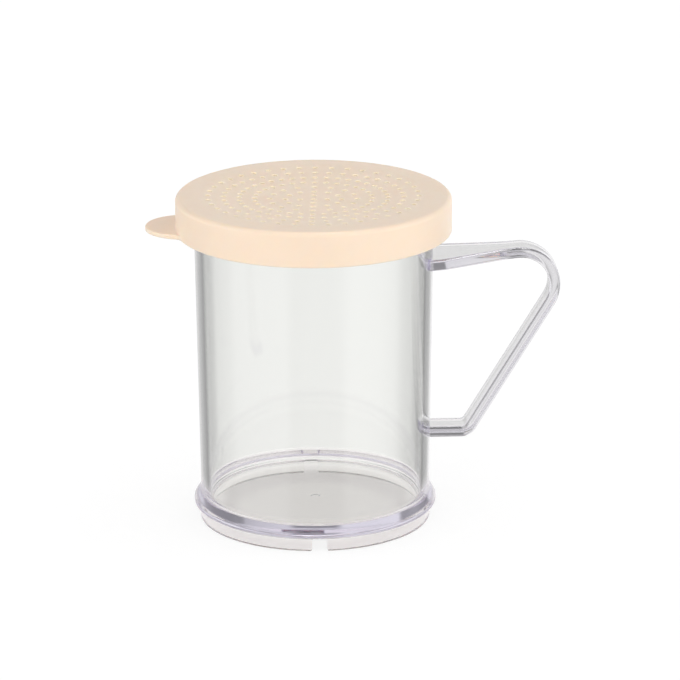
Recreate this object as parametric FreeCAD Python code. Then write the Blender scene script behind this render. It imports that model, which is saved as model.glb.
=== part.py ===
import FreeCAD, Part
import math
import os

os.makedirs("parts", exist_ok=True)

# A hand shaker for spice or grated cheese: a clear cup, a clear side handle bonded to its
# wall, and a perforated snap lid. Millimetres and degrees, +Z up. The origin is on the cup's
# axis in the plane of the foot ring. The handle points along +X and the pull tab along -X.

# Cup
cup_height = 98.8
wall_base_radius = 34.4
wall_draft = 1.5
wall_thickness = 2.3
floor_clearance = 3.9
floor_thickness = 2.4
floor_corner_round = 1.4
gate_radius = 1.3
gate_depth = 0.3

# Foot ring and the bead above it, measured out from the foot of the wall
foot_step = 0.4
foot_thickness = 2.3
foot_draft = 0.3
foot_edge_round = 0.4
bead_reach = 2.2
bead_undercut = 0.9
bead_band = 1.3
bead_flank = 3.3
bead_nose_round = 0.9
bead_blend_round = 3.0
notch_width = 4.6
notch_mouth_round = 0.6
notch_corner_round = 0.3

# Rim flange, hidden under the lid's skirt and measured out from the top of the wall
rim_reach = 3.0
rim_thickness = 2.4
rim_slope = 1.6
mouth_round = 0.6

# Handle, with its corners measured out from the top of the wall and down from the lid
bar_thickness = 3.3
bar_width = 9.6
bar_edge_bevel = 0.5
lower_arm_height = 26.55
lower_corner_reach = 10.1
lower_corner_radius = 3.5
upper_corner_reach = 45.2
upper_corner_drop = 5.3
upper_corner_radius = 10.2
upper_arm_rise = 5.2
upper_root_width = 18.4
upper_root_pad = 3.0
flare_start_radius = 3.0
flare_length = 18.6
flare_end_radius = 22.0

# Lid
lid_height = 10.7
lid_plate = 1.5
skirt_clearance = 0.95
skirt_thickness = 1.4
lid_edge_round = 1.5
skirt_edge_round = 0.4
border_width = 7.25
dish_depth = 0.8
dish_slope = 1.2
ridge_clearance = 0.35
ridge_drop = 1.1
ridge_height = 1.6
lid_turn = -3.3

# Shaker holes, drawn with flat sides. The outer ring is measured in from the dish's edge
hole_radius = 0.75
hole_sides = 6
inner_ring_radius = 4.1
inner_ring_count = 4
first_ring_radius = 8.35
outer_ring_inset = 2.5
ring_counts = (12, 16, 32, 40, 40, 40)

# Pull tab
tab_reach = 9.15
tab_radius = 11.3
tab_thickness = 1.4
tab_edge_bevel = 0.4
tab_blend_radius = 4.0

# Cutters run past the faces that they cut by this much
overrun = 5.0

# Rounds that are turned about the axis are short flats of about this length, and a wall that
# rises by more than tall_wall_height is drawn as a spline of degree one
flat_length = 1.2
tall_wall_height = 20.0

# Shares: a round takes no more than this share of its shorter straight
round_limit_share = 0.96

X_AXIS = FreeCAD.Vector(1, 0, 0)
Y_AXIS = FreeCAD.Vector(0, 1, 0)
Z_AXIS = FreeCAD.Vector(0, 0, 1)
CENTRE = FreeCAD.Vector(0, 0, 0)

wall_top_radius = wall_base_radius + wall_draft
floor_top = floor_clearance + floor_thickness
foot_radius = wall_base_radius + foot_step
bead_radius = wall_base_radius + bead_reach
bead_low = floor_clearance + bead_undercut
bead_high = bead_low + bead_band
bead_top = bead_high + bead_flank
rim_radius = wall_top_radius + rim_reach
rim_underside = cup_height - rim_thickness
rim_root = rim_underside - rim_slope
lid_top = cup_height + lid_plate
lid_bottom = lid_top - lid_height
skirt_inner_radius = rim_radius + skirt_clearance
lid_radius = skirt_inner_radius + skirt_thickness
dish_radius = lid_radius - border_width
upper_corner_x = wall_top_radius + upper_corner_reach
upper_corner_z = lid_bottom - upper_corner_drop


def wall_radius(z):
    """Outside radius of the cup's drafted wall at height z."""
    return wall_base_radius + wall_draft * z / cup_height


def side_point(r, z):
    """A point of a half section, or of the handle's side view."""
    return FreeCAD.Vector(r, 0, z)


def corner_arc(before, corner, after, radius):
    """The arc that rounds one corner of an outline."""
    to_before = (before - corner).normalize()
    to_after = (after - corner).normalize()
    half_angle = to_before.getAngle(to_after) / 2
    legs = min((before - corner).Length, (after - corner).Length)
    reach = min(radius / math.tan(half_angle), round_limit_share * legs)
    fitted = reach * math.tan(half_angle)
    to_middle = (to_before + to_after).normalize()
    middle = corner + to_middle * (fitted / math.sin(half_angle) - fitted)
    return Part.Arc(corner + to_before * reach, middle, corner + to_after * reach)


def outline_curves(points):
    """Lines through (x, z, round) points, with an arc at each rounded corner."""
    corners = [side_point(x, z) for x, z, radius in points]
    curves = []
    here = corners[0]
    for i in range(1, len(points) - 1):
        radius = points[i][2]
        if radius > 0:
            arc = corner_arc(corners[i - 1], corners[i], corners[i + 1], radius)
            curves.append(Part.LineSegment(here, arc.StartPoint))
            curves.append(arc)
            here = arc.EndPoint
        else:
            curves.append(Part.LineSegment(here, corners[i]))
            here = corners[i]
    curves.append(Part.LineSegment(here, corners[-1]))
    return curves


def rounded_edges(points):
    """The edges of an outline with true arcs."""
    return [curve.toShape() for curve in outline_curves(points)]


def straight_edge(start, end):
    """A line, or for a tall drafted wall the same line as a spline of degree one."""
    if abs(end.z - start.z) < tall_wall_height:
        return Part.makeLine(start, end)
    spline = Part.BSplineCurve()
    spline.buildFromPolesMultsKnots([start, end], [2, 2], [0, 1], False, 1)
    return spline.toShape()


def faceted_edges(points):
    """The edges of an outline with each arc as short flats."""
    edges = []
    for curve in outline_curves(points):
        first = curve.FirstParameter
        span = curve.LastParameter - first
        flats = 1
        if curve.TypeId != "Part::GeomLineSegment":
            flats = max(1, round(curve.length() / flat_length))
        stops = [curve.value(first + span * k / flats) for k in range(flats + 1)]
        edges += [straight_edge(start, end) for start, end in zip(stops, stops[1:])]
    return edges


def turned(points):
    """The solid made by turning a half section about the cup's axis, which it meets at both ends."""
    edges = faceted_edges(points)
    edges.append(Part.makeLine(side_point(*points[-1][:2]), side_point(*points[0][:2])))
    face = Part.Face(Part.Wire(Part.__sortEdges__(edges)))
    return face.revolve(CENTRE, Z_AXIS, 360)


# The turned cup without its notches
def cup_blank():
    recess_radius = foot_radius - foot_thickness
    mouth_radius = wall_top_radius - wall_thickness
    return turned([
        (0, floor_clearance, 0),
        (recess_radius - foot_draft, floor_clearance, 0),
        (recess_radius, 0, 0),
        (foot_radius, 0, foot_edge_round),
        (foot_radius, floor_clearance, 0),
        (bead_radius, bead_low, bead_nose_round),
        (bead_radius, bead_high, bead_nose_round),
        (wall_radius(bead_top), bead_top, bead_blend_round),
        (wall_radius(rim_root), rim_root, 0),
        (rim_radius, rim_underside, 0),
        (rim_radius, cup_height, 0),
        (mouth_radius, cup_height, mouth_round),
        (wall_radius(floor_top) - wall_thickness, floor_top, floor_corner_round),
        (0, floor_top, 0),
    ])


# One cutter for both drain notches, with a flared mouth
def notch_cutter():
    half_width = notch_width / 2
    flare = half_width + notch_mouth_round + notch_mouth_round
    outline = [
        (flare, -overrun, 0),
        (flare, 0, 0),
        (half_width, 0, notch_mouth_round),
        (half_width, floor_clearance, notch_corner_round),
        (-half_width, floor_clearance, notch_corner_round),
        (-half_width, 0, notch_mouth_round),
        (-flare, 0, 0),
        (-flare, -overrun, 0),
    ]
    edges = rounded_edges(outline)
    edges.append(Part.makeLine(side_point(-flare, -overrun), side_point(flare, -overrun)))
    face = Part.Face(Part.Wire(Part.__sortEdges__(edges)))
    reach = bead_radius + overrun
    face.translate(Y_AXIS * -reach)
    return face.extrude(Y_AXIS * (reach + reach))


def make_cup():
    cup = cup_blank().cut(notch_cutter())
    gate_base = side_point(0, floor_clearance - overrun)
    gate = Part.makeCylinder(gate_radius, overrun + gate_depth, gate_base, Z_AXIS)
    return cup.cut(gate).removeSplitter()


# The handle's centre line in the side view, from inside the wall at the lower root
def handle_path():
    slope = math.tan(math.radians(upper_arm_rise))
    start_x = wall_base_radius - wall_thickness
    upper_start_z = upper_corner_z - (upper_corner_x - start_x) * slope
    return [
        (start_x, lower_arm_height, 0),
        (wall_top_radius + lower_corner_reach, lower_arm_height, lower_corner_radius),
        (upper_corner_x, upper_corner_z, upper_corner_radius),
        (start_x, upper_start_z, 0),
    ]


# A flat bar of the root's width that follows the centre line
def wide_bar():
    half_width = upper_root_width / 2
    half_thickness = bar_thickness / 2
    start_x, start_z = handle_path()[0][:2]
    corners = [
        FreeCAD.Vector(start_x, -half_width, start_z - half_thickness),
        FreeCAD.Vector(start_x, half_width, start_z - half_thickness),
        FreeCAD.Vector(start_x, half_width, start_z + half_thickness),
        FreeCAD.Vector(start_x, -half_width, start_z + half_thickness),
    ]
    section = Part.makePolygon(corners + [corners[0]])
    spine = Part.Wire(rounded_edges(handle_path()))
    return spine.makePipeShell([section], True, False)


# Plan view of the upper arm: wide at the root, drawn in to the width of the bar
def flare_plan():
    start_x = wall_base_radius - wall_thickness - overrun
    pad_end = wall_top_radius + upper_root_pad
    flare_end = pad_end + flare_length
    far_end = upper_corner_x + overrun
    half_root = upper_root_width / 2
    half_bar = bar_width / 2
    outline = [
        (start_x, 0, 0),
        (start_x, half_root, 0),
        (pad_end, half_root, flare_start_radius),
        (flare_end, half_bar, flare_end_radius),
        (far_end, half_bar, 0),
        (far_end, -half_bar, 0),
        (flare_end, -half_bar, flare_end_radius),
        (pad_end, -half_root, flare_start_radius),
        (start_x, -half_root, 0),
        (start_x, 0, 0),
    ]
    wire = Part.Wire(Part.__sortEdges__(rounded_edges(outline)))
    wire.rotate(CENTRE, X_AXIS, -90)
    return Part.Face(wire)


# The space that the finished bar keeps: a plain strip low down, the flare at the top
def bar_envelope():
    split_height = upper_corner_z - upper_corner_radius - bar_thickness
    strip_corner = FreeCAD.Vector(0, -bar_width / 2, 0)
    strip = Part.makeBox(upper_corner_x + overrun, bar_width, split_height, strip_corner)
    flare = flare_plan()
    flare.translate(Z_AXIS * split_height)
    return strip.fuse(flare.extrude(Z_AXIS * (upper_corner_z + overrun - split_height)))


def cup_outside():
    """The cup's drafted wall as a full cone, which both roots of the handle sit on."""
    return Part.makeCone(wall_base_radius, wall_top_radius, cup_height)


def is_lengthwise(edge):
    """True for an edge that runs along the bar, not across it or through its thickness."""
    start, end = edge.Vertexes[0].Point, edge.Vertexes[-1].Point
    run = end - start
    return math.hypot(run.x, run.z) > abs(run.y) and run.Length > bar_thickness + bar_edge_bevel


def make_handle():
    bar = wide_bar().common(bar_envelope()).removeSplitter()
    long_edges = [edge for edge in bar.Edges if is_lengthwise(edge)]
    bar = bar.makeChamfer(bar_edge_bevel, long_edges)
    return bar.cut(cup_outside()).removeSplitter()


# The turned lid, with its sunken field and the snap ridge inside its skirt
def lid_blank():
    field_radius = dish_radius - dish_slope
    ridge_radius = rim_radius + ridge_clearance
    ridge_top = rim_underside - ridge_drop + ridge_height / 2
    ridge_foot = ridge_top - ridge_height
    ridge_middle = ridge_top - ridge_height / 2
    return turned([
        (0, lid_top - dish_depth, 0),
        (field_radius, lid_top - dish_depth, 0),
        (dish_radius, lid_top, 0),
        (lid_radius, lid_top, lid_edge_round),
        (lid_radius, lid_bottom, skirt_edge_round),
        (skirt_inner_radius, lid_bottom, 0),
        (skirt_inner_radius, ridge_foot, 0),
        (ridge_radius, ridge_middle, 0),
        (skirt_inner_radius, ridge_top, 0),
        (skirt_inner_radius, cup_height, 0),
        (dish_radius, cup_height, 0),
        (field_radius, cup_height - dish_depth, 0),
        (0, cup_height - dish_depth, 0),
    ])


def around(point, angle):
    """A point turned about the cup's axis."""
    return FreeCAD.Rotation(Z_AXIS, angle).multVec(point)


# One hole in the centre, then rings that each have a hole at the front and back
def hole_places():
    outer_ring_radius = dish_radius - outer_ring_inset
    pitch = (outer_ring_radius - first_ring_radius) / (len(ring_counts) - 1)
    rings = [(inner_ring_radius, inner_ring_count)]
    rings += [(first_ring_radius + i * pitch, count) for i, count in enumerate(ring_counts)]
    places = [(CENTRE, 0)]
    for radius, count in rings:
        angles = [360 * k / count for k in range(count)]
        places += [(around(Y_AXIS * radius, angle), angle) for angle in angles]
    return places


# The shaker holes as straight cutters
def hole_cutters():
    base = Z_AXIS * (cup_height - dish_depth - overrun)
    length = overrun + lid_plate + overrun
    cutters = []
    for place, angle in hole_places():
        turns = [angle + 360 * k / hole_sides for k in range(hole_sides)]
        corners = [place + base + around(Y_AXIS * hole_radius, turn) for turn in turns]
        face = Part.Face(Part.makePolygon(corners + [corners[0]]))
        cutters.append(face.extrude(Z_AXIS * length))
    return cutters


def mirrored(point):
    """The same point on the tab's other side."""
    return FreeCAD.Vector(point.x, -point.y, point.z)


# Plan of the pull tab: a round lobe with a hollow blend into the skirt on each side
def tab_plan():
    lobe_x = lid_radius + tab_reach - tab_radius
    to_blend = lid_radius + tab_blend_radius
    lobe_to_blend = tab_radius + tab_blend_radius
    blend_x = (lobe_x ** 2 + to_blend ** 2 - lobe_to_blend ** 2) / (2 * lobe_x)
    blend_y = math.sqrt(to_blend ** 2 - blend_x ** 2)
    blend = FreeCAD.Vector(-blend_x, blend_y, 0)
    lobe = FreeCAD.Vector(-lobe_x, 0, 0)
    to_skirt = (CENTRE - blend).normalize()
    to_lobe = (lobe - blend).normalize()
    on_skirt = blend + to_skirt * tab_blend_radius
    on_lobe = blend + to_lobe * tab_blend_radius
    on_blend = blend + (to_skirt + to_lobe).normalize() * tab_blend_radius
    tip = FreeCAD.Vector(-lid_radius - tab_reach, 0, 0)
    inside_radius = lid_radius - skirt_thickness / 2
    inside = (on_skirt - CENTRE).normalize() * inside_radius
    inside_middle = X_AXIS * -inside_radius
    edges = [
        Part.Arc(on_lobe, tip, mirrored(on_lobe)).toShape(),
        Part.Arc(mirrored(on_lobe), mirrored(on_blend), mirrored(on_skirt)).toShape(),
        Part.makeLine(mirrored(on_skirt), mirrored(inside)),
        Part.Arc(mirrored(inside), inside_middle, inside).toShape(),
        Part.makeLine(inside, on_skirt),
        Part.Arc(on_skirt, on_blend, on_lobe).toShape(),
    ]
    return Part.Face(Part.Wire(edges))


def is_free(edge):
    """True for an edge of the tab's outline that lies outside the skirt."""
    middle = edge.CenterOfMass
    return math.hypot(middle.x, middle.y) > lid_radius


def make_tab():
    plan = tab_plan()
    plan.translate(Z_AXIS * lid_bottom)
    tab = plan.extrude(Z_AXIS * tab_thickness)
    flat_edges = [edge for edge in tab.Edges if edge.BoundBox.ZLength < tab_edge_bevel]
    return tab.makeChamfer(tab_edge_bevel, [edge for edge in flat_edges if is_free(edge)])


def make_lid():
    lid = lid_blank().fuse(make_tab()).removeSplitter()
    lid = lid.cut(hole_cutters())
    lid.rotate(CENTRE, Z_AXIS, lid_turn)
    return lid


PIECES = (
    ("cup", make_cup),
    ("handle", make_handle),
    ("lid", make_lid),
)

for name, make in PIECES:
    piece = make().Solids[0]
    piece.exportStep("parts/" + name + ".step")
    print(name, "volume", round(piece.Volume), "valid", piece.isValid())
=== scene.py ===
import math

import bmesh
import bpy
from mathutils import Matrix, Vector
from mathutils.geometry import delaunay_2d_cdt


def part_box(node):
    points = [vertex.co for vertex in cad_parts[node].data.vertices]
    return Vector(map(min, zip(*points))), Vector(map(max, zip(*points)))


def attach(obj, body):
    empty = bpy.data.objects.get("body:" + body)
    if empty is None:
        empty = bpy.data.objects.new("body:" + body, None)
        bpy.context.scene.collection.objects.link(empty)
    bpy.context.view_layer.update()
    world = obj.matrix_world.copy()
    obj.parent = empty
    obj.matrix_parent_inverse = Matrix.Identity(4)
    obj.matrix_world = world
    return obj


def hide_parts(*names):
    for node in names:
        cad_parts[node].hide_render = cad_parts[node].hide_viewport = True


# A clear spice shaker with a side handle and a beige perforated lid, dressed around the CAD
# frame. Sizes are in millimetres and degrees, and meshes become metres when they are made.

MM = 0.001

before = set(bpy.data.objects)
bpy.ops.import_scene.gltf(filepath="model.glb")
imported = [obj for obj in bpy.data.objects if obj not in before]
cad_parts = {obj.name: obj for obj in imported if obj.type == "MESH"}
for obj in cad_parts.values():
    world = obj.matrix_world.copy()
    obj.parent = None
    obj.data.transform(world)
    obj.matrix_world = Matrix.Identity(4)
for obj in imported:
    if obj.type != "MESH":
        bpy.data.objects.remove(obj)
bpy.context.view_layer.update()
cup_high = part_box("cup")[1] / MM
lid_low, lid_high = (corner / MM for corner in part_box("lid"))
handle_low, handle_high = (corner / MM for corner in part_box("handle"))

# How finely rounds and turned shapes are drawn: angles in degrees, lengths in millimetres
ARC_STEP = 9.0
EDGE_STEP = 15
HOLE_EDGE_STEP = 22.5
SUPPORT = 0.25
CUP_STEPS = 288
LID_STEP = 1.0
TAB_STEP = 0.25
TAB_HALF_ANGLE = 24
SAME_POINT = 0.0005
TINY = 1e-6
SHARP_FROM = 40

# Cup, from the frame's rim flange and height inwards and down
CUP_HEIGHT = cup_high.z
RIM_RADIUS = cup_high.x
RIM_REACH = 3.0
RIM_THICKNESS = 2.4
RIM_SLOPE = 1.6
WALL_TOP_RADIUS = RIM_RADIUS - RIM_REACH
WALL_DRAFT = 1.5
WALL_THICKNESS = 2.3
FLOOR_CLEARANCE = 3.9
FLOOR_THICKNESS = 2.4
GATE_RADIUS = 1.3
GATE_DEPTH = 0.3
GATE_ROUND = 0.12
FOOT_STEP = 0.4
FOOT_THICKNESS = 2.3
FOOT_DRAFT = 0.3
FOOT_EDGE_ROUND = 0.4
FOOT_ROOT_ROUND = 0.3
BEAD_REACH = 2.2
BEAD_UNDERCUT = 0.9
BEAD_BAND = 1.3
BEAD_FLANK = 3.3
BEAD_ROUND = 0.9
BEAD_TOP_ROUND = 3.0
INNER_CORNER_ROUND = 1.4
RIM_ROOT_ROUND = 0.5
MOUTH_ROUND = 0.6
NOTCH_WIDTH = 4.6
NOTCH_MOUTH_ROUND = 0.6
NOTCH_ROOF_ROUND = 0.3
CUT_OVERRUN = 5
CUT_DROP = 2
LID_SEAT_GAP = 0.04
EDGE_ROUND = 0.25

# Handle
BAR_THICKNESS = 3.3
BAR_WIDTH = 9.6
BAR_ROUND = 0.9
BAR_COLUMNS = (-1, -0.6, -0.2, 0.2, 0.6, 1)
LOWER_ARM_HEIGHT = 26.55
LOWER_CORNER_REACH = 10.1
LOWER_CORNER_RADIUS = 3.5
UPPER_CORNER_REACH = 45.2
UPPER_CORNER_DROP = 5.3
UPPER_CORNER_RADIUS = 10.2
UPPER_ARM_RISE = 5.2
ROOT_WIDTH = handle_high.y * 2
ROOT_PAD = 3.0
ROOT_PAD_ROUND = 3.0
ROOT_START = 0.9
FLARE_LENGTH = 18.6
FLARE_ROUND = 22.0
ROOT_GAP = 0.03
ROOT_FIT_STEPS = 12

# Lid
LID_RADIUS = -lid_low.y
LID_TOP = lid_high.z
LID_BOTTOM = lid_low.z
PLATE = 1.5
SKIRT_THICKNESS = 1.4
LID_EDGE_ROUND = 1.5
SKIRT_EDGE_ROUND = 0.4
BORDER_WIDTH = 7.25
DISH_DEPTH = 1.4
DISH_ROUND = 3.0
DISH_INNER_ROUND = 1.5
PLATE_CORNER_ROUND = 0.4
FIELD_MARGIN = 0.8
RIDGE_ROUND = 0.2
RIDGE_CLEARANCE = 0.35
RIDGE_DROP = 1.1
RIDGE_HEIGHT = 1.6
LID_TURN = -3.3

# Shaker holes
HOLE_RADIUS = 0.75
HOLE_ROUND = 0.15
HOLE_STEPS = 16
HOLE_INSIDE_SHARE = 0.9
INNER_RING_RADIUS = 4.1
INNER_RING_COUNT = 4
FIRST_RING_RADIUS = 8.35
OUTER_RING_INSET = 2.5
RING_COUNTS = (12, 16, 32, 40, 40, 40)

# Pull tab
TAB_REACH = -lid_low.x - LID_RADIUS
TAB_RADIUS = 11.3
TAB_THICKNESS = 1.4
TAB_EDGE_ROUND = 0.45
TAB_ROOT_ROUND = 0.5
TAB_BLEND_RADIUS = 4.0

FLOOR_TOP = FLOOR_CLEARANCE + FLOOR_THICKNESS
WALL_BASE_RADIUS = WALL_TOP_RADIUS - WALL_DRAFT
FOOT_RADIUS = WALL_BASE_RADIUS + FOOT_STEP
BEAD_RADIUS = WALL_BASE_RADIUS + BEAD_REACH
BEAD_LOW = FLOOR_CLEARANCE + BEAD_UNDERCUT
BEAD_HIGH = BEAD_LOW + BEAD_BAND
BEAD_TOP = BEAD_HIGH + BEAD_FLANK
RIM_UNDERSIDE = CUP_HEIGHT - RIM_THICKNESS
RIM_ROOT = RIM_UNDERSIDE - RIM_SLOPE
SKIRT_INNER = LID_RADIUS - SKIRT_THICKNESS
DISH_RADIUS = LID_RADIUS - BORDER_WIDTH
FIELD_RADIUS = DISH_RADIUS - FIELD_MARGIN


def wall_radius(z):
    """Outside radius of the drafted wall at height z."""
    return WALL_BASE_RADIUS + WALL_DRAFT * z / CUP_HEIGHT


# Outlines

def quarter_turn(step):
    """Angles from 0 to 90 degrees, in radians."""
    return [math.radians(step * k) for k in range(round(90 / step) + 1)]


def corner_points(before, corner, after, radius):
    """Points of the arc that rounds one corner of an outline."""
    to_before = (before - corner).normalized()
    to_after = (after - corner).normalized()
    half_angle = to_before.angle(to_after) / 2
    turn = math.pi - 2 * half_angle
    steps = max(2, math.ceil(math.degrees(turn) / ARC_STEP))
    middle = (to_before + to_after).normalized()
    centre = corner + middle * (radius / math.sin(half_angle))
    spoke = -middle * radius
    side = math.copysign(1, to_before.cross(to_after))
    turns = [turn * (k / steps - 0.5) * -side for k in range(steps + 1)]
    return [centre + Matrix.Rotation(angle, 2) @ spoke for angle in turns]


def outline(points):
    """A line through (x, z, round) points, with arcs, and a support beside each end of a run."""
    corners = [Vector(point[:2]) for point in points]
    parts = [[corners[0]]]
    for i in range(1, len(points) - 1):
        radius = points[i][2]
        if radius > 0:
            parts.append(corner_points(corners[i - 1], corners[i], corners[i + 1], radius))
        else:
            parts.append([corners[i]])
    parts.append([corners[-1]])
    line = list(parts[0])
    for part in parts[1:]:
        run = part[0] - line[-1]
        if run.length > 4 * SUPPORT:
            line += [line[-1] + run.normalized() * SUPPORT, part[0] - run.normalized() * SUPPORT]
        line += part
    return line


# Meshes

def bridge(bm, first, second, closed=True):
    """Quads between two rows of vertices."""
    count = len(first) if closed else len(first) - 1
    faces = []
    for i in range(count):
        j = (i + 1) % len(first)
        faces.append(bm.faces.new((first[i], first[j], second[j], second[i])))
    return faces


def make_object(name, bm):
    """A smooth-shaded object in metres from a mesh drawn in millimetres."""
    bmesh.ops.remove_doubles(bm, verts=bm.verts, dist=SAME_POINT)
    bmesh.ops.recalc_face_normals(bm, faces=bm.faces)
    mesh = bpy.data.meshes.new(name)
    bm.to_mesh(mesh)
    bm.free()
    mesh.transform(Matrix.Scale(MM, 4))
    mesh.shade_smooth()
    mesh.set_sharp_from_angle(angle=math.radians(SHARP_FROM))
    piece = bpy.data.objects.new(name, mesh)
    bpy.context.scene.collection.objects.link(piece)
    return piece


def turn_outline(bm, line, steps):
    """Turns an outline whose ends lie on the Z axis."""
    rings = []
    for point in line[1:-1]:
        angles = [2 * math.pi * k / steps for k in range(steps)]
        spokes = [(math.cos(a) * point.x, math.sin(a) * point.x, point.y) for a in angles]
        rings.append([bm.verts.new(spoke) for spoke in spokes])
    for lower, upper in zip(rings, rings[1:]):
        bridge(bm, lower, upper)
    for end, ring in ((line[0], rings[0]), (line[-1], rings[-1])):
        pole = bm.verts.new((0, 0, end.y))
        for i in range(steps):
            bm.faces.new((pole, ring[i], ring[(i + 1) % steps]))


# Cup

def cup_outline():
    """Half section of the cup, from the gate mark under the floor round to the floor's top."""
    recess = FOOT_RADIUS - FOOT_THICKNESS
    mouth = WALL_TOP_RADIUS - WALL_THICKNESS
    rim_top = CUP_HEIGHT - LID_SEAT_GAP
    return outline([
        (0, FLOOR_CLEARANCE + GATE_DEPTH, 0),
        (GATE_RADIUS, FLOOR_CLEARANCE + GATE_DEPTH, GATE_ROUND),
        (GATE_RADIUS, FLOOR_CLEARANCE, GATE_ROUND),
        (recess - FOOT_DRAFT, FLOOR_CLEARANCE, EDGE_ROUND),
        (recess, 0, EDGE_ROUND),
        (FOOT_RADIUS, 0, FOOT_EDGE_ROUND),
        (FOOT_RADIUS, FLOOR_CLEARANCE, FOOT_ROOT_ROUND),
        (BEAD_RADIUS, BEAD_LOW, BEAD_ROUND),
        (BEAD_RADIUS, BEAD_HIGH, BEAD_ROUND),
        (wall_radius(BEAD_TOP), BEAD_TOP, BEAD_TOP_ROUND),
        (wall_radius(RIM_ROOT), RIM_ROOT, RIM_ROOT_ROUND),
        (RIM_RADIUS, RIM_UNDERSIDE, EDGE_ROUND),
        (RIM_RADIUS, rim_top, EDGE_ROUND),
        (mouth, rim_top, MOUTH_ROUND),
        (wall_radius(FLOOR_TOP) - WALL_THICKNESS, FLOOR_TOP, INNER_CORNER_ROUND),
        (0, FLOOR_TOP, 0),
    ])


def notch_cutter():
    """One bar through the foot ring that cuts both drain notches."""
    bm = bmesh.new()
    half = NOTCH_WIDTH / 2
    wide = half + NOTCH_MOUTH_ROUND * 2
    line = outline([
        (wide, -CUT_DROP, 0),
        (wide, 0, 0),
        (half, 0, NOTCH_MOUTH_ROUND),
        (half, FLOOR_CLEARANCE, NOTCH_ROOF_ROUND),
        (-half, FLOOR_CLEARANCE, NOTCH_ROOF_ROUND),
        (-half, 0, NOTCH_MOUTH_ROUND),
        (-wide, 0, 0),
        (-wide, -CUT_DROP, 0),
    ])
    reach = BEAD_RADIUS + CUT_OVERRUN
    ends = [[bm.verts.new((p.x, y, p.y)) for p in line] for y in (-reach, reach)]
    bridge(bm, *ends)
    for end in ends:
        bm.faces.new(end)
    return make_object("notch_cutter", bm)


def cut(piece, cutter):
    """Cuts one object from another and deletes the cutter."""
    modifier = piece.modifiers.new("cut", "BOOLEAN")
    modifier.operation = "DIFFERENCE"
    modifier.solver = "EXACT"
    modifier.object = cutter
    bpy.context.view_layer.update()
    graph = bpy.context.evaluated_depsgraph_get()
    mesh = bpy.data.meshes.new_from_object(piece.evaluated_get(graph))
    piece.modifiers.clear()
    piece.data = mesh
    bpy.data.objects.remove(cutter)


def make_cup():
    """The clear cup, turned and then notched."""
    bm = bmesh.new()
    turn_outline(bm, cup_outline(), CUP_STEPS)
    cup = make_object("clear_cup", bm)
    cut(cup, notch_cutter())
    cup.data.set_sharp_from_angle(angle=math.radians(SHARP_FROM))
    return cup


# Handle

def handle_line():
    """Centre line of the bar in the side view, from the lower root to the upper root."""
    slope = math.tan(math.radians(UPPER_ARM_RISE))
    upper_x = WALL_TOP_RADIUS + UPPER_CORNER_REACH
    upper_z = LID_BOTTOM - UPPER_CORNER_DROP
    root_x = WALL_TOP_RADIUS + ROOT_START
    line = outline([
        (root_x, LOWER_ARM_HEIGHT, 0),
        (WALL_TOP_RADIUS + LOWER_CORNER_REACH, LOWER_ARM_HEIGHT, LOWER_CORNER_RADIUS),
        (upper_x, upper_z, UPPER_CORNER_RADIUS),
        (root_x, upper_z - (upper_x - root_x) * slope, 0),
    ])
    stations = [line[0]]
    for point in line[1:]:
        run = point - stations[-1]
        steps = max(1, round(run.length))
        stations += [stations[-1] + run * k / steps for k in range(1, steps + 1)]
    return stations


def flare_line():
    """Half width of the upper arm in plan, against the distance from the axis."""
    pad_end = WALL_TOP_RADIUS + ROOT_PAD
    return outline([
        (WALL_BASE_RADIUS, ROOT_WIDTH / 2, 0),
        (pad_end, ROOT_WIDTH / 2, ROOT_PAD_ROUND),
        (pad_end + FLARE_LENGTH, BAR_WIDTH / 2, FLARE_ROUND),
        (handle_high.x + BAR_WIDTH, BAR_WIDTH / 2, 0),
    ])


def half_width_at(point, flare):
    """Half width of the bar at a station of its centre line."""
    if point.y < (handle_low.z + handle_high.z) / 2:
        return BAR_WIDTH / 2
    for a, b in zip(flare, flare[1:]):
        if a.x <= point.x <= b.x and b.x > a.x:
            return a.y + (b.y - a.y) * (point.x - a.x) / (b.x - a.x)
    return BAR_WIDTH / 2


def bar_columns(half_width):
    """(across, half thickness) pairs over the width of the bar, with rounded long edges."""
    half_thickness = BAR_THICKNESS / 2
    flat = half_width - BAR_ROUND
    edge = [(flat + BAR_ROUND * math.sin(a), half_thickness - BAR_ROUND * (1 - math.cos(a)))
            for a in quarter_turn(EDGE_STEP)]
    field = [(share * (flat - SUPPORT), half_thickness) for share in BAR_COLUMNS]
    return [(-y, t) for y, t in reversed(edge)] + field + edge


def section(station, direction, half_width):
    """Points round the bar at one station: over the top, then back underneath."""
    normal = Vector((-direction.y, direction.x))
    columns = bar_columns(half_width)
    top = [(station + normal * t, y) for y, t in columns]
    bottom = [(station - normal * t, y) for y, t in reversed(columns)]
    return [Vector((p.x, y, p.y)) for p, y in top + bottom]


def onto_wall(point, direction):
    """The point moved along a direction until it lies just off the cup's wall."""
    moved = point.copy()
    for _ in range(ROOT_FIT_STEPS):
        radial = Vector((moved.x, moved.y, 0))
        gap = radial.length - wall_radius(moved.z) - ROOT_GAP
        moved -= direction * gap / direction.dot(radial.normalized())
    return moved


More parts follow.
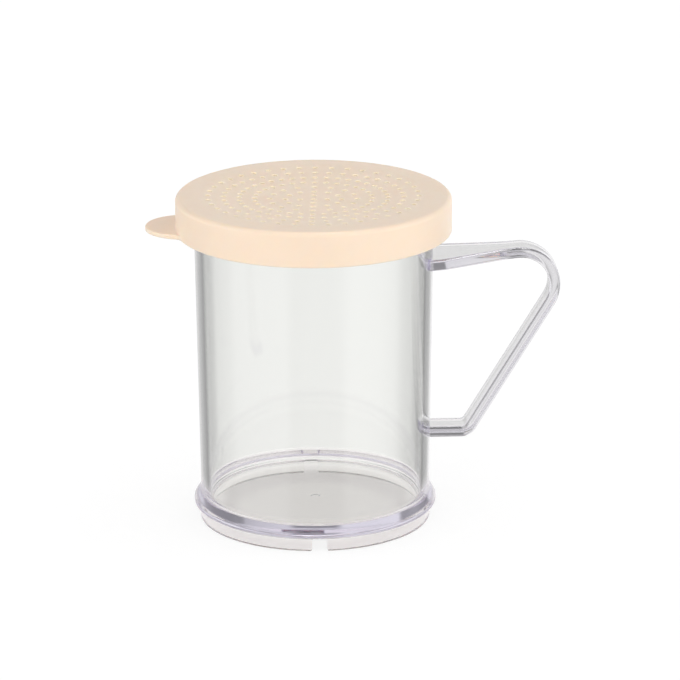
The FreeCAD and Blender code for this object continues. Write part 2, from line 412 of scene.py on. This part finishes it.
def make_handle():
    """The bent bar, with its two roots fitted to the wall."""
    bm = bmesh.new()
    stations = handle_line()
    flare = flare_line()
    last = len(stations) - 1
    rows = []
    for i, station in enumerate(stations):
        ahead = stations[min(i + 1, last)] - station
        behind = station - stations[max(i - 1, 0)]
        direction = (ahead.normalized() + behind.normalized()).normalized()
        points = section(station, direction, half_width_at(station, flare))
        if i in (0, last):
            along = Vector((direction.x, 0, direction.y))
            points = [onto_wall(point, along) for point in points]
        rows.append([bm.verts.new(point) for point in points])
    for first, second in zip(rows, rows[1:]):
        bridge(bm, first, second)
    half = len(rows[0]) // 2
    for row in (rows[0], rows[-1]):
        bridge(bm, row[:half], row[half:][::-1], closed=False)
    return make_object("clear_handle", bm)


# Lid

def dish_height(radius):
    """Height of the dished top at a distance from the axis."""
    return LID_TOP - DISH_DEPTH * (1 - (radius / DISH_RADIUS) ** 2)


def tab_extent(angle):
    """How far the tab stands out of the skirt, at an angle from its middle."""
    lobe = LID_RADIUS + TAB_REACH - TAB_RADIUS
    to_blend = LID_RADIUS + TAB_BLEND_RADIUS
    between = TAB_RADIUS + TAB_BLEND_RADIUS
    blend_x = (lobe ** 2 + to_blend ** 2 - between ** 2) / (2 * lobe)
    blend_y = math.sqrt(to_blend ** 2 - blend_x ** 2)
    blend_angle = math.atan2(blend_y, blend_x)
    join = Vector((lobe, 0)).lerp(Vector((blend_x, blend_y)), TAB_RADIUS / between)
    join_angle = math.atan2(join.y, join.x)
    if angle >= blend_angle:
        return 0
    if angle > join_angle:
        off = angle - blend_angle
        across = to_blend * math.sin(off)
        reach = to_blend * math.cos(off) - math.sqrt(TAB_BLEND_RADIUS ** 2 - across ** 2)
    else:
        across = lobe * math.sin(angle)
        reach = lobe * math.cos(angle) + math.sqrt(TAB_RADIUS ** 2 - across ** 2)
    return max(0, reach - LID_RADIUS)


def skirt_points(extent):
    """Half section of the skirt and tab, from its top edge round to its inner bottom edge."""
    root = min(TAB_ROOT_ROUND, extent / 2)
    edge = min(TAB_EDGE_ROUND, extent / 2)
    tab_top = LID_BOTTOM + TAB_THICKNESS
    outer = LID_RADIUS + extent
    turns = quarter_turn(EDGE_STEP)
    points = [(LID_RADIUS, LID_TOP - LID_EDGE_ROUND - SUPPORT),
              (LID_RADIUS, tab_top + TAB_ROOT_ROUND + SUPPORT)]
    points += [(LID_RADIUS + root * (1 - math.cos(a)), tab_top + root * (1 - math.sin(a)))
               for a in turns]
    points += [(outer - edge + edge * math.sin(a), tab_top - edge + edge * math.cos(a))
               for a in turns]
    low = SKIRT_EDGE_ROUND
    points += [(outer - low + low * math.cos(a), LID_BOTTOM + low - low * math.sin(a))
               for a in turns]
    points += [(LID_RADIUS - low - SUPPORT, LID_BOTTOM)]
    return [Vector(point) for point in points]


def rim_points():
    """Half section of the lid's border, from the dished field out to the skirt's top edge."""
    centre = Vector((LID_RADIUS - LID_EDGE_ROUND, LID_TOP - LID_EDGE_ROUND))
    edge = [centre + LID_EDGE_ROUND * Vector((math.sin(a), math.cos(a)))
            for a in quarter_turn(ARC_STEP)[1:]]
    field = Vector((FIELD_RADIUS, dish_height(FIELD_RADIUS)))
    return outline([
        (field.x, field.y, 0),
        (DISH_RADIUS, LID_TOP, DISH_ROUND),
        (LID_RADIUS - LID_EDGE_ROUND, LID_TOP, 0),
    ]) + edge


def inner_points():
    """Half section of the lid's inside, from the skirt's bottom in to the plate's underside."""
    ridge_radius = RIM_RADIUS + RIDGE_CLEARANCE
    ridge_middle = RIM_UNDERSIDE - RIDGE_DROP
    return outline([
        (SKIRT_INNER + SKIRT_EDGE_ROUND * 2, LID_BOTTOM, 0),
        (SKIRT_INNER, LID_BOTTOM, SKIRT_EDGE_ROUND),
        (SKIRT_INNER, ridge_middle - RIDGE_HEIGHT / 2, RIDGE_ROUND),
        (ridge_radius, ridge_middle, RIDGE_ROUND),
        (SKIRT_INNER, ridge_middle + RIDGE_HEIGHT / 2, RIDGE_ROUND),
        (SKIRT_INNER, LID_TOP - PLATE, PLATE_CORNER_ROUND),
        (DISH_RADIUS, LID_TOP - PLATE, DISH_INNER_ROUND),
        (FIELD_RADIUS, dish_height(FIELD_RADIUS) - PLATE, 0),
    ])


def lid_angles():
    """Angles round the lid, closer together at the tab."""
    angles = []
    angle = 0
    while angle < 360 - TINY:
        angles.append(angle)
        angle += TAB_STEP if abs(angle - 180) < TAB_HALF_ANGLE else LID_STEP
    return [math.radians(angle) for angle in angles]


def hole_places():
    """One hole in the centre, then rings that each have a hole at the front and back."""
    outer = DISH_RADIUS - OUTER_RING_INSET
    pitch = (outer - FIRST_RING_RADIUS) / (len(RING_COUNTS) - 1)
    rings = [(INNER_RING_RADIUS, INNER_RING_COUNT)]
    rings += [(FIRST_RING_RADIUS + i * pitch, count) for i, count in enumerate(RING_COUNTS)]
    places = [Vector((0, 0))]
    for radius, count in rings:
        angles = [math.pi / 2 + 2 * math.pi * k / count for k in range(count)]
        places += [Vector((math.cos(a), math.sin(a))) * radius for a in angles]
    return places


def circle(centre, radius):
    """Points of one circle round a hole, in plan."""
    angles = [2 * math.pi * k / HOLE_STEPS for k in range(HOLE_STEPS)]
    return [centre + Vector((math.cos(a), math.sin(a))) * radius for a in angles]


def field_plan(border, places):
    """Plan points and triangles of the dished field between its border and the holes."""
    points = list(border)
    edges = [(i, (i + 1) % len(border)) for i in range(len(border))]
    support = HOLE_RADIUS + HOLE_ROUND + SUPPORT / 2
    for place in places:
        start = len(points)
        points += circle(place, support)
        edges += [(start + i, start + (i + 1) % HOLE_STEPS) for i in range(HOLE_STEPS)]
    found = delaunay_2d_cdt(points, edges, [], 1, TINY)
    plan, triangles, sources = found[0], found[2], found[3]
    back = [source[0] for source in sources]
    kept = []
    for triangle in triangles:
        middle = sum((plan[i] for i in triangle), Vector((0, 0))) / 3
        if all((middle - place).length > support * HOLE_INSIDE_SHARE for place in places):
            kept.append([back[i] for i in triangle])
    return points, kept


def hole_levels():
    """(radius, depth below the top) of the rings down one hole's wall."""
    down = [(HOLE_RADIUS + HOLE_ROUND * (1 - math.sin(a)), HOLE_ROUND * (1 - math.cos(a)))
            for a in quarter_turn(HOLE_EDGE_STEP)]
    up = [(radius, PLATE - depth) for radius, depth in reversed(down)]
    return down + up


def add_field(bm, top_border, bottom_border):
    """The perforated dish: a top and bottom skin joined by the walls of the holes."""
    places = hole_places()
    border = [Vector((vert.co.x, vert.co.y)) for vert in top_border]
    points, triangles = field_plan(border, places)
    skins = []
    for drop, edge in ((0, top_border), (PLATE, bottom_border)):
        inner = points[len(edge):]
        verts = list(edge) + [bm.verts.new((p.x, p.y, dish_height(p.length) - drop))
                              for p in inner]
        for triangle in triangles:
            bm.faces.new([verts[i] for i in triangle])
        skins.append(verts)
    for number, place in enumerate(places):
        start = len(border) + number * HOLE_STEPS
        rows = [skins[0][start:start + HOLE_STEPS]]
        for radius, depth in hole_levels():
            rows.append([bm.verts.new((p.x, p.y, dish_height(p.length) - depth))
                         for p in circle(place, radius)])
        rows.append(skins[1][start:start + HOLE_STEPS])
        for upper, lower in zip(rows, rows[1:]):
            # The hole walls take the second material, whose colour is painted lighter for light
            # coming up through the cup
            for face in bridge(bm, upper, lower):
                face.material_index = 1


def make_lid():
    """The perforated lid with its tab, turned on the rim as in the photo."""
    bm = bmesh.new()
    rim, inner = rim_points(), inner_points()
    columns = []
    for angle in lid_angles():
        extent = tab_extent(abs(angle - math.pi))
        line = rim + skirt_points(extent) + inner
        spoke = Vector((math.cos(angle), math.sin(angle)))
        columns.append([bm.verts.new((spoke.x * p.x, spoke.y * p.x, p.y)) for p in line])
    for i, column in enumerate(columns):
        bridge(bm, column, columns[(i + 1) % len(columns)], closed=False)
    add_field(bm, [column[0] for column in columns], [column[-1] for column in columns])
    turn = Matrix.Rotation(math.radians(LID_TURN), 3, "Z")
    bmesh.ops.rotate(bm, cent=(0, 0, 0), matrix=turn, verts=bm.verts)
    return make_object("beige_lid", bm)


# Materials, with noise as (scale per metre, detail), and bump heights in metres

NOISE_MIDDLE = (0.3, 0.7)
CUP_TINT = (0.985, 0.99, 0.97, 1)
HANDLE_TINT = (0.89, 0.89, 0.87, 1)
ABSORBED = (0.42, 0.3, 0.75, 1)
CUP_ABSORPTION = 4.5
HANDLE_ABSORPTION = 10.0
CLEAR_IOR = 1.585
CLEAR_ROUGHNESS = (0.005, 0.02)
CLEAR_ROUGHNESS_NOISE = (90, 3)
CLEAR_WAVE_NOISE = (40, 1)
CLEAR_WAVE_STRETCH = (1, 1, 0.35)
CLEAR_WAVE_HEIGHT = 0.000008
BEIGE_DARKER = (0.87, 0.71, 0.562, 1)
BEIGE_LIGHTER = (0.89, 0.73, 0.582, 1)
# The thin walls of the holes get a lighter base colour than the lid: painted light, standing in
# for light that comes up through the clear cup
PAINTED_LIGHT_HOLE_WALL_DARKER = (0.98, 0.84, 0.64, 1)
PAINTED_LIGHT_HOLE_WALL_LIGHTER = (1.0, 0.87, 0.67, 1)
BEIGE_IOR = 1.5
BEIGE_ROUGHNESS = (0.3, 0.42)
BEIGE_ROUGHNESS_NOISE = (400, 2)
BEIGE_COLOUR_NOISE = (70, 4)
BEIGE_GRAIN_NOISE = (2600, 2)
BEIGE_GRAIN_HEIGHT = 0.000012
SUBSURFACE_WEIGHT = 0.6
SUBSURFACE_RADIUS = (1.0, 0.75, 0.5)
SUBSURFACE_SCALE = 0.0015


def new_material(name):
    """A material, its node tree and its main shader."""
    material = bpy.data.materials.new(name)
    material.use_nodes = True
    return material, material.node_tree, material.node_tree.nodes["Principled BSDF"]


def noise(tree, scale, detail, stretch=(1, 1, 1)):
    """A noise texture in the object's own coordinates, in metres."""
    place = tree.nodes.new("ShaderNodeTexCoord")
    mapping = tree.nodes.new("ShaderNodeMapping")
    mapping.inputs["Scale"].default_value = stretch
    texture = tree.nodes.new("ShaderNodeTexNoise")
    texture.inputs["Scale"].default_value = scale
    texture.inputs["Detail"].default_value = detail
    tree.links.new(place.outputs["Object"], mapping.inputs["Vector"])
    tree.links.new(mapping.outputs["Vector"], texture.inputs["Vector"])
    return texture.outputs["Fac"]


def spread(tree, value, limits):
    """A noise value mapped to a range."""
    node = tree.nodes.new("ShaderNodeMapRange")
    node.inputs["From Min"].default_value = NOISE_MIDDLE[0]
    node.inputs["From Max"].default_value = NOISE_MIDDLE[1]
    node.inputs["To Min"].default_value = limits[0]
    node.inputs["To Max"].default_value = limits[1]
    tree.links.new(value, node.inputs["Value"])
    return node.outputs["Result"]


def bump(tree, shader, height, distance):
    """Small dents and waves from a noise value."""
    node = tree.nodes.new("ShaderNodeBump")
    node.inputs["Distance"].default_value = distance
    tree.links.new(height, node.inputs["Height"])
    tree.links.new(node.outputs["Normal"], shader.inputs["Normal"])


def clear_plastic(name, tint, absorbed, density):
    """Clear polycarbonate: glossy, slightly wavy from the mould, faintly violet where thick."""
    material, tree, shader = new_material(name)
    shader.inputs["Base Color"].default_value = tint
    shader.inputs["IOR"].default_value = CLEAR_IOR
    shader.inputs["Transmission Weight"].default_value = 1.0
    roughness = spread(tree, noise(tree, *CLEAR_ROUGHNESS_NOISE), CLEAR_ROUGHNESS)
    tree.links.new(roughness, shader.inputs["Roughness"])
    bump(tree, shader, noise(tree, *CLEAR_WAVE_NOISE, CLEAR_WAVE_STRETCH), CLEAR_WAVE_HEIGHT)
    volume = tree.nodes.new("ShaderNodeVolumeAbsorption")
    volume.inputs["Color"].default_value = absorbed
    volume.inputs["Density"].default_value = density
    output = tree.nodes["Material Output"]
    tree.links.new(volume.outputs["Volume"], output.inputs["Volume"])
    return material


def beige_plastic(name, darker, lighter, subsurface):
    """Satin beige polyolefin with a fine mould grain and a little light inside it."""
    material, tree, shader = new_material(name)
    ramp = tree.nodes.new("ShaderNodeValToRGB")
    for element, place, colour in zip(ramp.color_ramp.elements, NOISE_MIDDLE, (darker, lighter)):
        element.position = place
        element.color = colour
    tree.links.new(noise(tree, *BEIGE_COLOUR_NOISE), ramp.inputs["Fac"])
    tree.links.new(ramp.outputs["Color"], shader.inputs["Base Color"])
    roughness = spread(tree, noise(tree, *BEIGE_ROUGHNESS_NOISE), BEIGE_ROUGHNESS)
    tree.links.new(roughness, shader.inputs["Roughness"])
    bump(tree, shader, noise(tree, *BEIGE_GRAIN_NOISE), BEIGE_GRAIN_HEIGHT)
    shader.inputs["IOR"].default_value = BEIGE_IOR
    shader.inputs["Subsurface Weight"].default_value = subsurface
    shader.inputs["Subsurface Radius"].default_value = SUBSURFACE_RADIUS
    shader.inputs["Subsurface Scale"].default_value = SUBSURFACE_SCALE
    return material


# Studio

CAMERA_LENS = 238.24
CAMERA_SENSOR = 36.0
CAMERA_DISTANCE = 1353.747
CAMERA_AZIMUTH = -2.5
CAMERA_ELEVATION = 17.437
CAMERA_ROLL = -0.213
CAMERA_TARGET = Vector((7.718, -0.337, 54.933))
CAMERA_CLIP = (0.1, 20)


def make_camera():
    """The camera at the photo's viewing angle."""
    azimuth, elevation = math.radians(CAMERA_AZIMUTH), math.radians(CAMERA_ELEVATION)
    back = Vector((math.sin(azimuth) * math.cos(elevation),
                   -math.cos(azimuth) * math.cos(elevation),
                   math.sin(elevation)))
    data = bpy.data.cameras.new("camera")
    data.lens = CAMERA_LENS
    data.sensor_width = CAMERA_SENSOR
    data.clip_start, data.clip_end = CAMERA_CLIP
    camera = bpy.data.objects.new("camera", data)
    aim = (-back).to_track_quat("-Z", "Y").to_matrix().to_4x4()
    roll = Matrix.Rotation(math.radians(CAMERA_ROLL), 4, "Z")
    place = Matrix.Translation((CAMERA_TARGET + back * CAMERA_DISTANCE) * MM)
    camera.matrix_world = place @ aim @ roll
    bpy.context.scene.collection.objects.link(camera)
    bpy.context.scene.camera = camera


# What the clear plastic sees round it, as (angle from straight behind the object, level): a lit
# backdrop behind, and darker cards at both sides that draw the dark lines of the wall's edges
THROUGH_WALL = ((-180, 1.0), (-43, 1.0), (-39, 0.38), (-36, 0.36), (-29, 0.38), (-22, 0.42),
                (-16, 0.46), (-13, 0.54), (-11, 0.62), (-8.5, 0.71), (-4.5, 0.83), (-2, 0.88),
                (2, 0.91), (4.6, 0.93), (6.5, 0.9), (8, 0.8), (10.3, 0.7), (12, 0.65),
                (14.2, 0.58), (17, 0.3), (21, 0.22), (27, 0.24), (35, 0.28), (40, 0.4),
                (48, 1.0), (180, 1.0))
# The thick foot looks higher up, past the wall's cards, at panels with gaps between them
THROUGH_FOOT = ((-180, 0.8), (-65, 0.8), (-60, 0.36), (-50, 0.32), (-44, 0.42), (-33, 0.36),
                (-31, 0.9), (-7, 0.9), (-5, 0.32), (9, 0.32), (11, 0.78), (22, 0.68),
                (28, 0.55), (30, 0.3), (48, 0.27), (58, 0.38), (65, 0.8), (180, 0.8))
# Its surfaces mirror panels at the front, with a dark gap between them
MIRRORED = ((-180, 0.15), (-157, 0.15), (-149, 0.8), (-95, 0.8), (-85, 0.3), (-44, 0.3),
            (-38, 0.45), (-31, 0.65), (-20, 0.65), (0, 0.8), (20, 1.0), (40, 1.0), (46, 0.1),
            (50, 0.1), (56, 0.3), (85, 0.3), (95, 0.8), (149, 0.8), (157, 0.15), (180, 0.15))
# Light on dull surfaces by its direction round the object, for a wide band above the horizon
AROUND = ((-180, 1.1), (-60, 0.9), (-30, 0.3), (0, 0.2), (30, 0.4), (60, 1.15), (180, 1.15))
# Levels by the height of the direction, from -1 straight down to 1 straight up. The cards behind
# the wall stand in a low band, and those behind the foot above the horizon
SKY = ((-1.0, 1.0), (0.1, 0.9), (0.5, 0.45), (1.0, 0.3))
BAND = ((-1.0, 0.0), (0.0, 1.0), (0.5, 1.0), (0.9, 0.0))
WALL_CARDS = ((-1.0, 0.0), (-0.44, 0.0), (-0.39, 1.0), (-0.21, 1.0), (-0.16, 0.0), (1.0, 0.0))
FOOT_CARDS = ((-1.0, 0.0), (0.02, 0.0), (0.12, 1.0), (1.0, 1.0))
CEILING_SEEN_THROUGH = ((-1.0, 1.0), (0.4, 1.0), (0.5, 0.7), (1.0, 0.5))
CEILING_MIRRORED = ((-1.0, 1.0), (0.45, 1.0), (0.6, 0.5), (0.9, 0.4), (0.92, 7.0), (1.0, 7.0))


def math_node(tree, operation, first, second):
    """A Math node; its inputs are sockets or plain numbers."""
    node = tree.nodes.new("ShaderNodeMath")
    node.operation = operation
    for socket, value in zip(node.inputs, (first, second)):
        if isinstance(value, bpy.types.NodeSocket):
            tree.links.new(value, socket)
        else:
            socket.default_value = value
    return node.outputs["Value"]


def level_ramp(tree, value, low, high, stops):
    """Grey levels by a value between low and high."""
    to_share = tree.nodes.new("ShaderNodeMapRange")
    to_share.inputs["From Min"].default_value = low
    to_share.inputs["From Max"].default_value = high
    ramp = tree.nodes.new("ShaderNodeValToRGB")
    elements = ramp.color_ramp.elements
    for _ in stops[2:]:
        elements.new(1)
    for element, (place, level) in zip(elements, stops):
        element.position = (place - low) / (high - low)
        element.color = (level, level, level, 1)
    tree.links.new(value, to_share.inputs["Value"])
    tree.links.new(to_share.outputs["Result"], ramp.inputs["Fac"])
    return ramp.outputs["Color"]


def turn_ramp(tree, around, stops):
    """Levels by the direction round the object, from stops in degrees."""
    turns = [(math.radians(angle), level) for angle, level in stops]
    return level_ramp(tree, around, -math.pi, math.pi, turns)


def height_ramp(tree, height, stops):
    """Levels by the height of the direction."""
    return level_ramp(tree, height, -1, 1, stops)


def straight_from_view(tree, path, name):
    """1 for rays of the named kind that have met no dull surface yet."""
    no_dull_yet = math_node(tree, "LESS_THAN", path.outputs["Diffuse Depth"], 0.5)
    return math_node(tree, "MULTIPLY", path.outputs[name], no_dull_yet)


def background(tree, colour):
    """A Background shader from a colour socket or a plain grey level."""
    shader = tree.nodes.new("ShaderNodeBackground")
    if isinstance(colour, bpy.types.NodeSocket):
        tree.links.new(colour, shader.inputs["Color"])
    else:
        shader.inputs["Color"].default_value = (colour, colour, colour, 1)
    return shader.outputs[0]


def mix_shader(tree, share, first, second):
    """The second shader by its share over the first."""
    mix = tree.nodes.new("ShaderNodeMixShader")
    tree.links.new(share, mix.inputs["Fac"])
    tree.links.new(first, mix.inputs[1])
    tree.links.new(second, mix.inputs[2])
    return mix.outputs[0]


def make_world():
    """Soft even light, brighter from the sides and the front, and a white backdrop that the
    camera sees. The clear plastic sees the studio's cards and panels against it."""
    world = bpy.data.worlds.new("studio")
    world.use_nodes = True
    bpy.context.scene.world = world
    tree = world.node_tree
    tree.nodes.clear()
    path = tree.nodes.new("ShaderNodeLightPath")
    place = tree.nodes.new("ShaderNodeTexCoord")
    split = tree.nodes.new("ShaderNodeSeparateXYZ")
    tree.links.new(place.outputs["Generated"], split.inputs["Vector"])
    x, y, z = split.outputs
    around = math_node(tree, "ARCTAN2", x, y)
    band = math_node(tree, "MULTIPLY", turn_ramp(tree, around, AROUND), height_ramp(tree, z, BAND))
    seen = background(tree, math_node(tree, "ADD", height_ramp(tree, z, SKY), band))
    past_cards = 1.0
    for stops, heights in ((THROUGH_WALL, WALL_CARDS), (THROUGH_FOOT, FOOT_CARDS)):
        held_back = math_node(tree, "SUBTRACT", 1.0, turn_ramp(tree, around, stops))
        held_back = math_node(tree, "MULTIPLY", held_back, height_ramp(tree, z, heights))
        past_cards = math_node(tree, "SUBTRACT", past_cards, held_back)
    above = height_ramp(tree, z, CEILING_SEEN_THROUGH)
    through = background(tree, math_node(tree, "MULTIPLY", past_cards, above))
    above = height_ramp(tree, z, CEILING_MIRRORED)
    panels = turn_ramp(tree, around, MIRRORED)
    mirrored = background(tree, math_node(tree, "MULTIPLY", panels, above))
    # A ray that passed through is also a glossy ray, so what is seen through comes last
    seen = mix_shader(tree, straight_from_view(tree, path, "Is Glossy Ray"), seen, mirrored)
    seen = mix_shader(tree, straight_from_view(tree, path, "Is Transmission Ray"), seen, through)
    seen = mix_shader(tree, path.outputs["Is Camera Ray"], seen, background(tree, 1.0))
    output = tree.nodes.new("ShaderNodeOutputWorld")
    tree.links.new(seen, output.inputs["Surface"])


FLOOR_SIZE = 6000.0
FLOOR_SEGMENTS = 8
FLOOR_GREY = 0.9
SEEN_FLOOR_GREY = 0.25
SEEN_FLOOR_LIFT = (0.81, 0.81, 0.81, 1)
# Where the clear plastic sees the paper close to the cup, it has painted levels of its own: warm
# painted light under the cup, and darker painted shade in the ring beside it that the foot looks
# onto
UNDER_CUP_GREY = 0.5
UNDER_CUP_PAINTED_LIGHT = (0.73, 0.70, 0.70, 1)
BESIDE_CUP_PAINTED_SHADE = (0.61, 0.575, 0.585, 1)
UNDER_CUP_RADII = (20.0, 28.0)
NEAR_FLOOR_RADII = (37.0, 60.0)


def diffuse(tree, grey):
    """Plain grey paper."""
    shader = tree.nodes.new("ShaderNodeBsdfDiffuse")
    shader.inputs["Color"].default_value = (grey, grey, grey, 1)
    return shader.outputs[0]


def lifted(tree, grey, lift):
    """Grey paper with a little light added, so that it keeps the shadow and looks near white."""
    glow = tree.nodes.new("ShaderNodeEmission")
    glow.inputs["Color"].default_value = lift
    both = tree.nodes.new("ShaderNodeAddShader")
    tree.links.new(diffuse(tree, grey), both.inputs[0])
    tree.links.new(glow.outputs[0], both.inputs[1])
    return both.outputs[0]


def smooth_share(tree, value, radii):
    """0 inside the first radius and 1 outside the second."""
    share = tree.nodes.new("ShaderNodeMapRange")
    share.interpolation_type = "SMOOTHSTEP"
    share.inputs["From Min"].default_value = radii[0] * MM
    share.inputs["From Max"].default_value = radii[1] * MM
    tree.links.new(value, share.inputs["Value"])
    return share.outputs["Result"]


def floor_paper():
    """Pale paper that keeps the shadow and is lifted to white where it is seen. Some way out,
    reflections and the clear plastic see the studio instead of it."""
    material, tree, shader = new_material("floor_paper")
    tree.nodes.remove(shader)
    path = tree.nodes.new("ShaderNodeLightPath")
    clear = tree.nodes.new("ShaderNodeBsdfTransparent")
    place = tree.nodes.new("ShaderNodeTexCoord")
    away = tree.nodes.new("ShaderNodeVectorMath")
    away.operation = "LENGTH"
    tree.links.new(place.outputs["Object"], away.inputs[0])
    beside = smooth_share(tree, away.outputs["Value"], UNDER_CUP_RADII)
    far = smooth_share(tree, away.outputs["Value"], NEAR_FLOOR_RADII)
    specular = math_node(tree, "MAXIMUM", straight_from_view(tree, path, "Is Transmission Ray"),
                         straight_from_view(tree, path, "Is Glossy Ray"))
    surface = mix_shader(tree, path.outputs["Is Camera Ray"], diffuse(tree, FLOOR_GREY),
                         lifted(tree, SEEN_FLOOR_GREY, SEEN_FLOOR_LIFT))
    # Painted light under the cup and painted shade beside it, seen only through the clear plastic
    # and in reflections
    near = mix_shader(tree, beside, lifted(tree, UNDER_CUP_GREY, UNDER_CUP_PAINTED_LIGHT),
                      lifted(tree, UNDER_CUP_GREY, BESIDE_CUP_PAINTED_SHADE))
    surface = mix_shader(tree, specular, surface, near)
    specular_far = math_node(tree, "MULTIPLY", specular, far)
    surface = mix_shader(tree, specular_far, surface, clear.outputs[0])
    tree.links.new(surface, tree.nodes["Material Output"].inputs["Surface"])
    return material


def make_floor():
    """The wide sheet of paper that the shaker stands on."""
    bm = bmesh.new()
    bmesh.ops.create_grid(bm, x_segments=FLOOR_SEGMENTS, y_segments=FLOOR_SEGMENTS,
                          size=FLOOR_SIZE / 2)
    floor = make_object("floor", bm)
    floor.data.materials.append(floor_paper())


# Pieces on the frame

def place_piece(piece, body, node, materials):
    """Gives a piece its materials and puts it in place of its CAD node."""
    for material in materials:
        piece.data.materials.append(material)
    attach(piece, body)
    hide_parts(node)


make_camera()
make_world()
make_floor()

place_piece(make_cup(), "cup", "cup",
            [clear_plastic("clear_cup", CUP_TINT, ABSORBED, CUP_ABSORPTION)])
place_piece(make_handle(), "cup", "handle",
            [clear_plastic("clear_handle", HANDLE_TINT, ABSORBED, HANDLE_ABSORPTION)])
# The lid's second material, for the hole walls, is painted light: a lighter colour for light
# coming up through the cup
place_piece(make_lid(), "lid", "lid",
            [beige_plastic("beige_plastic", BEIGE_DARKER, BEIGE_LIGHTER, SUBSURFACE_WEIGHT),
             beige_plastic("beige_hole_walls_painted_light", PAINTED_LIGHT_HOLE_WALL_DARKER, PAINTED_LIGHT_HOLE_WALL_LIGHTER, 0)])

# Light runs a long way round inside the thick foot before it comes out
LIGHT_BOUNCES = 128

scene = bpy.context.scene
scene.view_settings.view_transform = "Standard"
scene.cycles.max_bounces = LIGHT_BOUNCES
scene.cycles.transmission_bounces = LIGHT_BOUNCES
scene.cycles.glossy_bounces = LIGHT_BOUNCES
